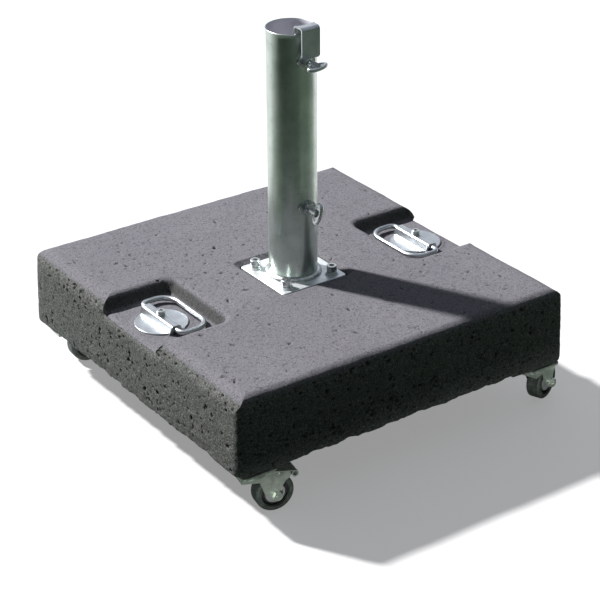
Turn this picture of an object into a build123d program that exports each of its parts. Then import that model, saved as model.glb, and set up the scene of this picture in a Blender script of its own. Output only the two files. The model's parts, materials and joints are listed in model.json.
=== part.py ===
from build123d import *
from math import atan, cos, radians, sin, tan
import os

os.makedirs("parts", exist_ok=True)

# Rolling parasol base. Millimetres, +Z up, Z = 0 on the ground, the pole tube's axis is Z.
# The wing screws face -Y and the carrying handles sit at -X and +X.

# Concrete block
BLOCK_WIDTH = 600.0
BLOCK_HEIGHT = 128.0
BLOCK_DRAFT = 2.0
BLOCK_CORNER = 18.0
BLOCK_TOP_ROUND = 14.0
BLOCK_BOTTOM_ROUND = 7.0
CASTER_HEIGHT = 80.0
BLOCK_TOP = CASTER_HEIGHT + BLOCK_HEIGHT

# Hand recesses at the two sides
RECESS_DEPTH = 23.0
RECESS_FLOOR_X = 183.0
RECESS_FLOOR_HALF = 74.0
RECESS_SLOPE = 27.0
RECESS_CORNER = 8.0
RECESS_FLOOR_ROUND = 6.0
RECESS_FLOOR = BLOCK_TOP - RECESS_DEPTH

# Flange plate in its shallow pocket
PLATE_WIDTH = 120.0
PLATE_THICKNESS = 8.0
PLATE_CORNER = 5.0
PLATE_SINK = 5.0
POCKET_SLOPE = 52.0
POCKET_GAP = 1.5
POCKET_RIM_ROUND = 3.0
PLATE_TOP = BLOCK_TOP - PLATE_SINK
PLATE_BOTTOM = PLATE_TOP - PLATE_THICKNESS
FLANGE_BOLT_OFFSET = 43.0
SHANK_GAP = 0.05
WASHER_RADIUS = 10.5
WASHER_SHEET = 2.0
SPRING_WASHER_RADIUS = 9.1
SPRING_WASHER_SHEET = 2.2
SPRING_WASHER_SLIT = 1.2
FLANGE_HEAD_RADIUS = 8.0
FLANGE_HEAD_HEIGHT = 10.0
WASHER_BORE_GAP = 0.4

# Pole tube with its weld, and the ring that seats the pole
TUBE_RADIUS = 38.05
TUBE_WALL = 2.0
TUBE_BORE = TUBE_RADIUS - TUBE_WALL
TUBE_TOP = BLOCK_TOP + 396.0
LIP_HEIGHT = 7.0
LIP_FLARE = 1.6
WELD_RADIUS = 45.0
WELD_HEIGHT = 6.0
SEAT_BORE = 30.3
SEAT_HEIGHT = 40.0
SEAT_LEAD = 3.0

# Wing screws and the clamp strap that hooks over the rim
SCREW_RADIUS = 5.0
SCREW_GAP = 0.06
UPPER_SCREW_Z = TUBE_TOP - 44.0
LOWER_SCREW_Z = BLOCK_TOP + 117.0
NUT_FACE = TUBE_RADIUS + 9.0
NUT_FLATS = 17.0
WELD_PAD_FACE = TUBE_RADIUS + 2.4
WING_CENTRE = 67.0
WING_SPAN = 35.0
WING_DEPTH = 19.0
WING_THICKNESS = 6.0
WING_NECK_RADIUS = 6.5
WING_NECK_START = 54.0
UPPER_WING_TILT = 84.0
LOWER_WING_TILT = 18.0
STRAP_WIDTH = 32.0
STRAP_SHEET = 2.5
STRAP_TOP = TUBE_TOP + 13.0
STRAP_BEND = 6.0
STRAP_OUTER_FACE = 51.5
TONGUE_FACE = TUBE_BORE - 0.4
TONGUE_THICKNESS = 2.4
TONGUE_LENGTH = 86.0
STRAP_END = UPPER_SCREW_Z + NUT_FLATS / 2 + 0.8
PAD_RADIUS = 4.6
PAD_THICKNESS = 3.0
PAD_START = TUBE_BORE + 1.0
NUT_CHAMFER = 1.2
WELD_PAD_HALF_WIDTH = 11.0
WELD_PAD_HALF_HEIGHT = 15.0
STRAP_CORNER = 4.0
TIP_PIN_RADIUS = 3.0
TIP_PIN_GAP = 0.08
PAD_PIN_RADIUS = 2.0
PAD_PIN_LENGTH = 1.8
WING_ROUND = 2.4
DISH_DEPTH = 1.1
DISH_SCALE = 0.66

# Steel fastenings cast into or screwed to the block
FLANGE_SHANK = 5.0
FLANGE_INSERT_RADIUS = 7.0
FLANGE_INSERT_DEPTH = 60.0
HANDLE_INSERT_RADIUS = 6.5
HANDLE_INSERT_DEPTH = 45.0
CASTER_SHANK = 3.0
CASTER_INSERT_RADIUS = 4.5
CASTER_INSERT_DEPTH = 32.0
INSERT_FLOOR = 3.0

# Carrying handles
HANDLE_X = 242.0
HANDLE_DISC_RADIUS = 41.0
HANDLE_SHEET = 2.5
RIDGE_HALF_LENGTH = 43.0
RIDGE_BASE_HALF = 12.5
RIDGE_TOP_HALF = 7.5
RIDGE_HEIGHT = 13.5
RIDGE_CORNER = 4.5
CHANNEL_RADIUS = 4.4
LOOP_WIRE = 4.0
LOOP_REACH = 50.0
LOOP_HALF_WIDTH = 60.0
LOOP_OUTER_BEND = 27.0
LOOP_INNER_BEND = 11.0
LOOP_PIN_END = 10.0
LOOP_AXIS_HEIGHT = 7.2
HANDLE_SCREW_RADIUS = 4.0
HANDLE_SCREW_GAP = 0.3
HANDLE_HEAD_RADIUS = 6.5
HANDLE_HEAD_HEIGHT = 8.0
HANDLE_SCREW_LENGTH = 43.5

# Casters
SWIVEL_X = 264.5
SWIVEL_Y = 272.0
FRONT_TRAIL_ANGLE = -10.6
RIGHT_TRAIL_ANGLE = 22.0
LEFT_TRAIL_ANGLE = -4.0
TRAIL = 34.0
WHEEL_RADIUS = 30.0
WHEEL_HALF = 12.0
TYRE_BORE = 22.0
TYRE_SHOULDER = 4.5
HUB_DISC_RADIUS = 16.0
HUB_BORE = 4.06
HUB_BOSS_RADIUS = 7.5
HUB_HALF = 14.2
DISC_FACE = 11.6
GROOVE_FLOOR = 6.5
AXLE_RADIUS = 4.0
CASTER_PLATE_HALF = 30.0
CASTER_PLATE_SHEET = 3.0
CASTER_SCREW_OFFSET = 22.0
RACE_RADIUS = 21.0
RACE_DROP = 2.5
BALL_RADIUS = 2.0
BALL_CIRCLE = 16.0
BALL_COUNT = 20
CROWN_TOP = 70.2
CROWN_SHEET = 2.7
CROWN_RADIUS = 24.0
CHEEK_INNER = 14.6
CHEEK_SHEET = 2.5
KINGPIN_RADIUS = 5.0
PEDAL_PIVOT_U = 40.0
PEDAL_PIVOT_Z = 63.5
PEDAL_PIN_RADIUS = 2.0
PEDAL_BARREL_RADIUS = 3.6
PEDAL_HALF = 13.0
PEDAL_SHEET = 2.0
PEDAL_TOE_U = 65.0
PEDAL_TOE_Z = 56.0
PEDAL_TOE_RADIUS = 5.5
PEDAL_LIFT = 34.0
SHOE_START = 45.0
SHOE_LENGTH = 10.0
SHOE_BOTTOM = 46.5
SHOE_GAP = 0.4
FORK_LEADING = 20.0
FORK_TRAILING = 56.0
CROWN_END = 30.0
CASTER_PLATE_CORNER = 6.0
CASTER_HEAD_RADIUS = 5.0
CASTER_HEAD_HEIGHT = 3.2
KINGPIN_HEAD_RADIUS = 8.0
KINGPIN_HEAD_HEIGHT = 2.6
CROWN_LIP = 2.2
CROWN_LIP_TOP = 73.6
AXLE_NUT_FLATS = 13.0
AXLE_NUT_THICKNESS = 6.5
AXLE_HEAD_THICKNESS = 5.3
THREAD_END = 1.5
PIN_HEAD_RADIUS = 3.4
PIN_HEAD_THICKNESS = 1.3
CHEEK_OUTER = CHEEK_INNER + CHEEK_SHEET
AXLE_LOBE = 9.0


def save(name, solids):
    """Write one sub-part; several separate solids go in as one group."""
    solids = solids if isinstance(solids, list) else [solids]
    shape = solids[0] if len(solids) == 1 else Compound(children=solids)
    export_step(shape, f"parts/{name}.step")


def rod(radius, bottom, top, x=0.0, y=0.0):
    """Upright cylinder from bottom to top."""
    return Pos(x, y, (bottom + top) / 2) * Cylinder(radius, top - bottom)


def rod_y(radius, start, end, x=0.0, z=0.0):
    """Cylinder along Y from start to end."""
    return Pos(x, (start + end) / 2, z) * Rot(90, 0, 0) * Cylinder(radius, end - start)


def block(x0, x1, y0, y1, z0, z1):
    """Plain box given by its limits."""
    return Pos((x0 + x1) / 2, (y0 + y1) / 2, (z0 + z1) / 2) * Box(x1 - x0, y1 - y0, z1 - z0)


def hexagon_prism(flats, bottom, top, x=0.0, y=0.0):
    """Upright hexagonal prism, given across its flats."""
    outline = Pos(x, y, bottom) * RegularPolygon(flats / 2, 6, major_radius=False)
    return extrude(outline, top - bottom)


def turned(edges):
    """Solid of revolution about Z from the edges of its section, drawn as (radius, height)."""
    return revolve(Plane.XZ * make_face(Wire(edges)), Axis.Z)


def corners(offset_x, offset_y):
    """The four corners of a rectangle."""
    return [(sx * offset_x, sy * offset_y) for sx in (-1, 1) for sy in (-1, 1)]


def cap_screw(radius, head_radius, head_height, seat, end, x, y):
    """Socket-head cap screw standing on seat, its shank down to end."""
    head = rod(head_radius, seat, seat + head_height, x, y)
    head = chamfer(head.edges().sort_by(Axis.Z)[-1], 0.7)
    key = hexagon_prism(1.6 * radius, seat + 0.45 * head_height, seat + head_height + 1, x, y)
    shank = rod(radius, end, seat + 0.1, x, y)
    return head - key + shank


def threaded_insert(outer, bore, bottom, top, x, y):
    """Steel sleeve cast into the concrete."""
    return rod(outer, bottom, top, x, y) - rod(bore, bottom + INSERT_FLOOR, top + 1, x, y)


# ------------------------------------------------------------------ concrete block
def side_recess(side):
    """Hollow that is open at one side, with three sloping walls."""
    length = BLOCK_WIDTH / 2 + 40 - RECESS_FLOOR_X
    floor = Pos(side * (RECESS_FLOOR_X + length / 2), 0, RECESS_FLOOR)
    outline = RectangleRounded(length, 2 * RECESS_FLOOR_HALF, RECESS_CORNER)
    tool = extrude(floor * outline, RECESS_DEPTH + 20, taper=-RECESS_SLOPE)
    return fillet(tool.faces().sort_by(Axis.Z)[0].edges(), RECESS_FLOOR_ROUND)


def flange_pocket():
    """Square pocket for the flange plate, with sloping walls above it."""
    width = PLATE_WIDTH + 2 * POCKET_GAP
    outline = RectangleRounded(width, width, PLATE_CORNER)
    floor = extrude(Pos(0, 0, PLATE_BOTTOM) * outline, PLATE_THICKNESS)
    return floor + extrude(Pos(0, 0, PLATE_TOP - 2) * outline, PLATE_SINK + 12, taper=-POCKET_SLOPE)


def concrete_block():
    foot = BLOCK_WIDTH + 2 * BLOCK_HEIGHT * tan(radians(BLOCK_DRAFT))
    outline = Pos(0, 0, CASTER_HEIGHT) * RectangleRounded(foot, foot, BLOCK_CORNER)
    body = extrude(outline, BLOCK_HEIGHT, taper=BLOCK_DRAFT)
    body -= [side_recess(-1), side_recess(1), flange_pocket()]
    rim = body.edges().filter_by(lambda edge: abs(edge.center().Z - BLOCK_TOP) < 0.01)
    pocket_rim = rim.filter_by(lambda edge: abs(edge.center().X) + abs(edge.center().Y) < PLATE_WIDTH)
    body = fillet(pocket_rim, POCKET_RIM_ROUND)
    rim = body.edges().filter_by(lambda edge: abs(edge.center().Z - BLOCK_TOP) < 0.01)
    outer_rim = rim.filter_by(lambda edge: abs(edge.center().X) + abs(edge.center().Y) > PLATE_WIDTH)
    body = fillet(outer_rim, BLOCK_TOP_ROUND)
    body = fillet(body.faces().sort_by(Axis.Z)[0].edges(), BLOCK_BOTTOM_ROUND)
    for x, y in flange_places():
        body -= insert_hole(FLANGE_INSERT_RADIUS, PLATE_BOTTOM - FLANGE_INSERT_DEPTH, PLATE_BOTTOM, x, y)
    for x in (-HANDLE_X, HANDLE_X):
        body -= insert_hole(HANDLE_INSERT_RADIUS, RECESS_FLOOR - HANDLE_INSERT_DEPTH, RECESS_FLOOR, x, 0)
    for x, y in caster_screw_places():
        body -= insert_hole(CASTER_INSERT_RADIUS, CASTER_HEIGHT, CASTER_HEIGHT + CASTER_INSERT_DEPTH, x, y)
    return body


def flange_places():
    return corners(FLANGE_BOLT_OFFSET, FLANGE_BOLT_OFFSET)


def insert_hole(radius, bottom, top, x, y):
    """Room for one cast-in insert, open by a hair at both ends."""
    return rod(radius + SHANK_GAP, bottom - SHANK_GAP, top + SHANK_GAP, x, y)


# ------------------------------------------------------------------ flange plate and its fastenings


def flange_plate():
    outline = Pos(0, 0, PLATE_BOTTOM) * RectangleRounded(PLATE_WIDTH, PLATE_WIDTH, PLATE_CORNER)
    plate = extrude(outline, PLATE_THICKNESS)
    plate = chamfer(plate.faces().sort_by(Axis.Z)[-1].edges(), 0.8)
    for x, y in flange_places():
        plate -= rod(FLANGE_SHANK + WASHER_BORE_GAP, PLATE_BOTTOM - 1, PLATE_TOP + 1, x, y)
    return plate


def washer(radius, bore, bottom, sheet, x, y):
    return rod(radius, bottom, bottom + sheet, x, y) - rod(bore, bottom - 1, bottom + sheet + 1, x, y)


def flange_washer(x, y):
    return washer(WASHER_RADIUS, FLANGE_SHANK + WASHER_BORE_GAP, PLATE_TOP, WASHER_SHEET, x, y)


def spring_washer(x, y):
    bottom = PLATE_TOP + WASHER_SHEET
    ring = washer(SPRING_WASHER_RADIUS, FLANGE_SHANK + WASHER_BORE_GAP, bottom, SPRING_WASHER_SHEET, x, y)
    slit = Pos(x, y, bottom) * Rot(0, 0, 25) * block(0, WASHER_RADIUS, 0, SPRING_WASHER_SLIT, -1, 4)
    return ring - slit


def flange_screw(x, y):
    seat = PLATE_TOP + WASHER_SHEET + SPRING_WASHER_SHEET
    end = PLATE_BOTTOM - 0.75 * FLANGE_INSERT_DEPTH
    return cap_screw(FLANGE_SHANK, FLANGE_HEAD_RADIUS, FLANGE_HEAD_HEIGHT, seat, end, x, y)


def flange_insert(x, y):
    bottom = PLATE_BOTTOM - FLANGE_INSERT_DEPTH
    return threaded_insert(FLANGE_INSERT_RADIUS, FLANGE_SHANK + SHANK_GAP, bottom, PLATE_BOTTOM, x, y)


# ------------------------------------------------------------------ pole tube
def pole_tube():
    """Tube with a softly flared mouth and two screw holes."""
    lip_start = TUBE_TOP - LIP_HEIGHT
    inner = Line((TUBE_BORE, PLATE_TOP), (TUBE_BORE, lip_start))
    inner_lip = TangentArc((TUBE_BORE, lip_start), (TUBE_BORE + LIP_FLARE, TUBE_TOP), tangent=(0, 1))
    rim = Line((TUBE_BORE + LIP_FLARE, TUBE_TOP), (TUBE_RADIUS + LIP_FLARE, TUBE_TOP))
    outer_lip = TangentArc((TUBE_RADIUS, lip_start), (TUBE_RADIUS + LIP_FLARE, TUBE_TOP), tangent=(0, 1))
    outer = Line((TUBE_RADIUS, lip_start), (TUBE_RADIUS, PLATE_TOP))
    foot = Line((TUBE_RADIUS, PLATE_TOP), (TUBE_BORE, PLATE_TOP))
    tube = turned([inner, inner_lip, rim, outer_lip, outer, foot])
    tube = fillet(tube.faces().sort_by(Axis.Z)[-1].edges(), 0.7)
    for z in (UPPER_SCREW_Z, LOWER_SCREW_Z):
        tube -= rod_y(SCREW_RADIUS + 0.3, -TUBE_RADIUS - 2, -TUBE_BORE + 4, 0, z)
    return tube


def tube_weld():
    """Bead all round between the tube and the plate."""
    start = TUBE_RADIUS + SHANK_GAP
    toe = Line((start, PLATE_TOP), (WELD_RADIUS, PLATE_TOP))
    middle = (start + 0.72 * (WELD_RADIUS - start), PLATE_TOP + 0.72 * WELD_HEIGHT)
    crown = ThreePointArc((WELD_RADIUS, PLATE_TOP), middle, (start, PLATE_TOP + WELD_HEIGHT))
    back = Line((start, PLATE_TOP + WELD_HEIGHT), (start, PLATE_TOP))
    return turned([toe, crown, back])


def pole_seat_ring():
    """Plastic ring at the foot of the tube that centres the pole."""
    top = PLATE_TOP + SEAT_HEIGHT
    ring = rod(TUBE_BORE - SHANK_GAP, PLATE_TOP, top) - rod(SEAT_BORE, PLATE_TOP - 1, top + 1)
    mouth = ring.faces().sort_by(Axis.Z)[-1].edges().sort_by(SortBy.RADIUS)[0]
    return chamfer(mouth, SEAT_LEAD)


# ------------------------------------------------------------------ wing screws and clamp strap


def chamfered_hexagon(flats, thickness):
    """Nut blank on Z = 0, its corners turned off at both ends."""
    blank = hexagon_prism(flats, 0, thickness)
    turned = rod(flats / 2 / cos(radians(30)) - 0.1, 0, thickness)
    turned = chamfer(turned.edges().filter_by(GeomType.CIRCLE), NUT_CHAMFER, NUT_CHAMFER * 0.9)
    return blank & turned


def weld_nut(z):
    thickness = NUT_FACE - WELD_PAD_FACE
    nut = chamfered_hexagon(NUT_FLATS, thickness) - rod(SCREW_RADIUS + SCREW_GAP, -1, thickness + 1)
    return Pos(0, -WELD_PAD_FACE, z) * Rot(90, 0, 0) * nut


def nut_weld(z):
    """Weld saddle that carries one nut on the tube."""
    outline = Plane(origin=(0, -TUBE_BORE + 6, z), z_dir=(0, -1, 0)) * Ellipse(
        WELD_PAD_HALF_WIDTH, WELD_PAD_HALF_HEIGHT)
    pad = extrude(outline, WELD_PAD_FACE - TUBE_BORE + 6)
    pad -= rod(TUBE_RADIUS + SHANK_GAP, z - 30, z + 30)
    return pad - rod_y(SCREW_RADIUS + SCREW_GAP, -WELD_PAD_FACE - 1, -TUBE_BORE + 2, 0, z)


def thumb_plate(tilt):
    """Oval thumb plate of a wing screw, dished on both faces, about the Y axis."""
    plate = extrude(Ellipse(WING_SPAN / 2, WING_DEPTH / 2), WING_THICKNESS / 2, both=True)
    plate = fillet(plate.edges().filter_by(lambda edge: abs(edge.center().Z) > 1), WING_ROUND)
    dish = extrude(Ellipse(WING_SPAN / 2 * DISH_SCALE, WING_DEPTH / 2 * DISH_SCALE), DISH_DEPTH, taper=20)
    plate -= Pos(0, 0, WING_THICKNESS / 2 - DISH_DEPTH) * mirror(dish, Plane.XY.offset(DISH_DEPTH / 2))
    plate -= Pos(0, 0, -WING_THICKNESS / 2) * dish
    return Pos(0, -WING_CENTRE, 0) * Rot(0, 90 + tilt, 0) * plate


def wing_screw(tip, tilt, z):
    """Wing screw along Y: shank from tip out to the neck, then the thumb plate."""
    shank = rod_y(SCREW_RADIUS, -WING_CENTRE, -tip)
    shank = chamfer(shank.edges().sort_by(Axis.Y)[-1], 0.8)
    neck = rod_y(WING_NECK_RADIUS, -WING_CENTRE, -WING_NECK_START)
    neck = chamfer(neck.edges().sort_by(Axis.Y)[-1], 1.0)
    return Pos(0, 0, z) * (shank + neck + thumb_plate(tilt))


def upper_wing_screw():
    screw = wing_screw(TONGUE_FACE + 0.2, UPPER_WING_TILT, UPPER_SCREW_Z)
    pin_end = TONGUE_FACE - TONGUE_THICKNESS + 0.2
    return screw + rod_y(TIP_PIN_RADIUS, -TONGUE_FACE - 1, -pin_end, 0, UPPER_SCREW_Z)


def lower_wing_screw():
    screw = wing_screw(PAD_START + 0.1, LOWER_WING_TILT, LOWER_SCREW_Z)
    return screw + rod_y(PAD_PIN_RADIUS, -PAD_START - 1, -PAD_START + PAD_PIN_LENGTH, 0, LOWER_SCREW_Z)


def lower_clamp_pad():
    pad = rod_y(PAD_RADIUS, -PAD_START, -PAD_START + PAD_THICKNESS)
    pad = chamfer(pad.edges().sort_by(Axis.Y)[-1], 0.5)
    pad -= rod_y(PAD_PIN_RADIUS + SCREW_GAP, -PAD_START - 1, -PAD_START + PAD_PIN_LENGTH + 0.2)
    return Pos(0, 0, LOWER_SCREW_Z) * pad


def clamp_strap():
    """Sheet strap over the rim: a curved tongue inside the tube and a flat leg outside."""
    half = STRAP_WIDTH / 2
    tongue_end = TUBE_TOP - TONGUE_LENGTH
    inner = TONGUE_FACE - TONGUE_THICKNESS
    tongue = rod(TONGUE_FACE, tongue_end, STRAP_TOP)
    tongue &= block(-half, half, -STRAP_OUTER_FACE, 0, tongue_end, STRAP_TOP)
    bridge = block(-half, half, -STRAP_OUTER_FACE, 0, STRAP_TOP - STRAP_SHEET, STRAP_TOP)
    leg = block(-half, half, -STRAP_OUTER_FACE, STRAP_SHEET - STRAP_OUTER_FACE, STRAP_END, STRAP_TOP)
    leg_corners = leg.edges().filter_by(Axis.Y).group_by(Axis.Z)[0]
    leg = fillet(leg_corners, STRAP_CORNER)
    strap = tongue + bridge + leg - rod(inner, tongue_end - 1, STRAP_TOP + 1)
    top = strap.faces().sort_by(Axis.Z)[-1].edges()
    strap = fillet(top.sort_by(Axis.Y)[0], STRAP_BEND)
    top = strap.faces().sort_by(Axis.Z)[-1].edges()
    strap = fillet(top.sort_by(Axis.Y)[-1], STRAP_BEND - 1.5)
    under = STRAP_TOP - STRAP_SHEET
    hollow = strap.edges().filter_by(lambda edge: abs(edge.center().Z - under) < 0.01)
    hollow = hollow.filter_by(lambda edge: abs(edge.center().X) < 0.01)
    strap = fillet(hollow, STRAP_BEND - STRAP_SHEET)
    return strap - rod_y(TIP_PIN_RADIUS + TIP_PIN_GAP, -TONGUE_FACE - 2, 0, 0, UPPER_SCREW_Z)


# ------------------------------------------------------------------ carrying handles


def handle_place(side):
    """From a handle's own frame, with +X towards the tube, to the block."""
    turn = Rot(0, 0, 180) if side > 0 else Rot(0, 0, 0)
    return turn * Pos(-HANDLE_X, 0, RECESS_FLOOR)


def handle_plate():
    """Pressed disc with a raised channel across it for the loop's ends."""
    disc = rod(HANDLE_DISC_RADIUS, 0, HANDLE_SHEET)
    disc = fillet(disc.edges().sort_by(Axis.Z)[-1], 1.0)
    outline = Polyline((-RIDGE_BASE_HALF, 0), (-RIDGE_TOP_HALF, RIDGE_HEIGHT),
                       (RIDGE_TOP_HALF, RIDGE_HEIGHT), (RIDGE_BASE_HALF, 0), close=True)
    ridge = extrude(Plane.XZ * make_face(outline), RIDGE_HALF_LENGTH, both=True)
    crest = ridge.edges().filter_by(Axis.Y).group_by(Axis.Z)[-1]
    plate = fillet(crest, RIDGE_CORNER) + disc
    reach = 1.2 * RIDGE_HALF_LENGTH
    channel = rod_y(CHANNEL_RADIUS, -reach, reach, 0, LOOP_AXIS_HEIGHT)
    channel += block(-CHANNEL_RADIUS, CHANNEL_RADIUS, -reach, reach, -1, LOOP_AXIS_HEIGHT)
    return plate - channel - rod(HANDLE_SCREW_RADIUS + HANDLE_SCREW_GAP, -1, RIDGE_HEIGHT + 1)


def handle_loop():
    """Round wire bail; its two ends turn in to lie in the channel as pins."""
    reach, half = LOOP_REACH, LOOP_HALF_WIDTH
    route = FilletPolyline((0, LOOP_PIN_END), (0, half), (reach, half), (reach, -half), (0, -half),
                           (0, -LOOP_PIN_END),
                           radius=[LOOP_INNER_BEND, LOOP_OUTER_BEND, LOOP_OUTER_BEND, LOOP_INNER_BEND])
    start = Plane(origin=(0, LOOP_PIN_END, 0), z_dir=(0, 1, 0))
    wire = sweep(start * Circle(LOOP_WIRE), path=route)
    return Pos(0, 0, LOOP_AXIS_HEIGHT) * wire


def handle_screw():
    end = RIDGE_HEIGHT - HANDLE_SCREW_LENGTH
    return cap_screw(HANDLE_SCREW_RADIUS, HANDLE_HEAD_RADIUS, HANDLE_HEAD_HEIGHT, RIDGE_HEIGHT, end, 0, 0)


def handle_insert():
    bore = HANDLE_SCREW_RADIUS + SHANK_GAP
    return threaded_insert(HANDLE_INSERT_RADIUS, bore, -HANDLE_INSERT_DEPTH, 0, 0, 0)


# ------------------------------------------------------------------ casters
# A caster's own frame has the swivel axis at X = Y = 0, the wheel trailing towards +X and the
# axle along Y.


def caster_places():
    """Name, place, trailing direction and whether the brake pedal is up, for each caster."""
    return [
        ("front_left", -SWIVEL_X, -SWIVEL_Y, FRONT_TRAIL_ANGLE, False),
        ("front_right", SWIVEL_X, -SWIVEL_Y, RIGHT_TRAIL_ANGLE, True),
        ("rear_right", SWIVEL_X, SWIVEL_Y, FRONT_TRAIL_ANGLE + 180, False),
        ("rear_left", -SWIVEL_X, SWIVEL_Y, LEFT_TRAIL_ANGLE, True),
    ]


def caster_screw_places():
    places = []
    for _, x, y, _, _ in caster_places():
        offset = CASTER_SCREW_OFFSET
        places += [(x + dx, y + dy) for dx, dy in corners(offset, offset)]
    return places


def caster_plate():
    bottom = CASTER_HEIGHT - CASTER_PLATE_SHEET
    outline = RectangleRounded(2 * CASTER_PLATE_HALF, 2 * CASTER_PLATE_HALF, CASTER_PLATE_CORNER)
    plate = extrude(Pos(0, 0, bottom) * outline, CASTER_PLATE_SHEET)
    race = rod(RACE_RADIUS, bottom - RACE_DROP, bottom + 0.5)
    plate += fillet(race.edges().sort_by(Axis.Z)[0], 1.0)
    for x, y in corners(CASTER_SCREW_OFFSET, CASTER_SCREW_OFFSET):
        plate -= rod(CASTER_SHANK + WASHER_BORE_GAP, bottom - 1, CASTER_HEIGHT + 1, x, y)
    return plate - rod(KINGPIN_RADIUS + SHANK_GAP, bottom - 5, CASTER_HEIGHT + 1)


def caster_screw(x, y):
    seat = CASTER_HEIGHT - CASTER_PLATE_SHEET
    head = rod(CASTER_HEAD_RADIUS, seat - CASTER_HEAD_HEIGHT, seat, x, y)
    head = fillet(head.edges().sort_by(Axis.Z)[0], 1.8)
    end = CASTER_HEIGHT + 0.75 * CASTER_INSERT_DEPTH
    return head + rod(CASTER_SHANK, seat - 0.1, end, x, y)


def caster_insert(x, y):
    sleeve = rod(CASTER_INSERT_RADIUS, CASTER_HEIGHT, CASTER_HEIGHT + CASTER_INSERT_DEPTH, x, y)
    bore_top = CASTER_HEIGHT + CASTER_INSERT_DEPTH - INSERT_FLOOR
    return sleeve - rod(CASTER_SHANK + SHANK_GAP, CASTER_HEIGHT - 1, bore_top, x, y)


def kingpin(x, y):
    """Rivet that holds the fork under the plate and turns in the crown."""
    crown_bottom = CROWN_TOP - CROWN_SHEET
    head_top = crown_bottom - 0.3
    head = rod(KINGPIN_HEAD_RADIUS, head_top - KINGPIN_HEAD_HEIGHT, head_top, x, y)
    head = fillet(head.edges().sort_by(Axis.Z)[0], 1.6)
    return head + rod(KINGPIN_RADIUS, head_top - 0.1, CASTER_HEIGHT - 0.1, x, y)


def bearing_balls(x, y):
    centre = (CROWN_TOP + CASTER_HEIGHT - CASTER_PLATE_SHEET - RACE_DROP) / 2
    turns = [radians(360 * index / BALL_COUNT) for index in range(BALL_COUNT)]
    return [Pos(x + BALL_CIRCLE * cos(turn), y + BALL_CIRCLE * sin(turn), centre) * Sphere(BALL_RADIUS)
            for turn in turns]


def cheek_outline():
    """Side view of the fork: wide at the crown, narrow at the axle."""
    leading_edge = [(-FORK_LEADING, CROWN_TOP), (-FORK_LEADING, CROWN_TOP - 9), (8, 57), (15, 37)]
    foot = [(TRAIL - 7, WHEEL_RADIUS - 6), (TRAIL + 8, WHEEL_RADIUS), (TRAIL + 9, 44), (TRAIL + 14, 51)]
    trailing_edge = [(FORK_TRAILING - 2, PEDAL_PIVOT_Z - 9), (FORK_TRAILING, PEDAL_PIVOT_Z - 5),
                     (FORK_TRAILING - 1, PEDAL_PIVOT_Z + 2.5), (CROWN_END, CROWN_TOP)]
    return Polyline(*leading_edge, *foot, *trailing_edge, close=True)


def fork():
    """Pressed fork: crown with a ball race lip, an apron in front and two cheeks."""
    side = make_face(cheek_outline()) + Pos(TRAIL, WHEEL_RADIUS) * Circle(AXLE_LOBE)
    body = extrude(Plane.XZ * side, CHEEK_OUTER, both=True)
    body = fillet(body.edges().filter_by(Axis.X).group_by(Axis.Z)[-1], 2.2)
    apron = CHEEK_SHEET - FORK_LEADING
    far = 2 * FORK_TRAILING
    body -= block(apron, far, -CHEEK_INNER, CHEEK_INNER, 0, CROWN_TOP - CROWN_SHEET)
    body -= block(CROWN_END + 2, far, -CHEEK_INNER, CHEEK_INNER, 0, CASTER_HEIGHT)
    crown = rod(CROWN_RADIUS, CROWN_TOP - CROWN_SHEET, CROWN_LIP_TOP)
    crown -= rod(CROWN_RADIUS - CROWN_LIP, CROWN_TOP, CROWN_LIP_TOP + 1)
    body += crown
    across = 2 * CHEEK_OUTER
    body -= rod(KINGPIN_RADIUS + SCREW_GAP, CROWN_TOP - 2 * CROWN_SHEET, CASTER_HEIGHT)
    body -= rod_y(AXLE_RADIUS + SHANK_GAP, -across, across, TRAIL, WHEEL_RADIUS)
    return body - rod_y(PEDAL_PIN_RADIUS + SHANK_GAP, -across, across, PEDAL_PIVOT_U, PEDAL_PIVOT_Z)


def fork_pins():
    """Axle bolt, its nut and the pedal's rivet."""
    nut_end = CHEEK_OUTER + AXLE_NUT_THICKNESS
    shank = rod_y(AXLE_RADIUS, -nut_end - THREAD_END, CHEEK_OUTER + 0.1, TRAIL, WHEEL_RADIUS)
    shank = chamfer(shank.edges().sort_by(Axis.Y)[0], 0.8)
    place = Pos(TRAIL, CHEEK_OUTER + AXLE_HEAD_THICKNESS, WHEEL_RADIUS) * Rot(90, 0, 0)
    bolt = shank + place * chamfered_hexagon(AXLE_NUT_FLATS, AXLE_HEAD_THICKNESS)
    nut = chamfered_hexagon(AXLE_NUT_FLATS, AXLE_NUT_THICKNESS)
    nut -= rod(AXLE_RADIUS + SHANK_GAP, -1, AXLE_NUT_THICKNESS + 1)
    nut = Pos(TRAIL, -CHEEK_OUTER, WHEEL_RADIUS) * Rot(90, 0, 0) * nut
    pin = rod_y(PEDAL_PIN_RADIUS, -CHEEK_OUTER - 0.1, CHEEK_OUTER + 0.1)
    for face in (-1, 1):
        start, end = sorted((face * CHEEK_OUTER, face * (CHEEK_OUTER + PIN_HEAD_THICKNESS)))
        pin += rod_y(PIN_HEAD_RADIUS, start, end)
    return [bolt, nut, Pos(PEDAL_PIVOT_U, 0, PEDAL_PIVOT_Z) * pin]


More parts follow.
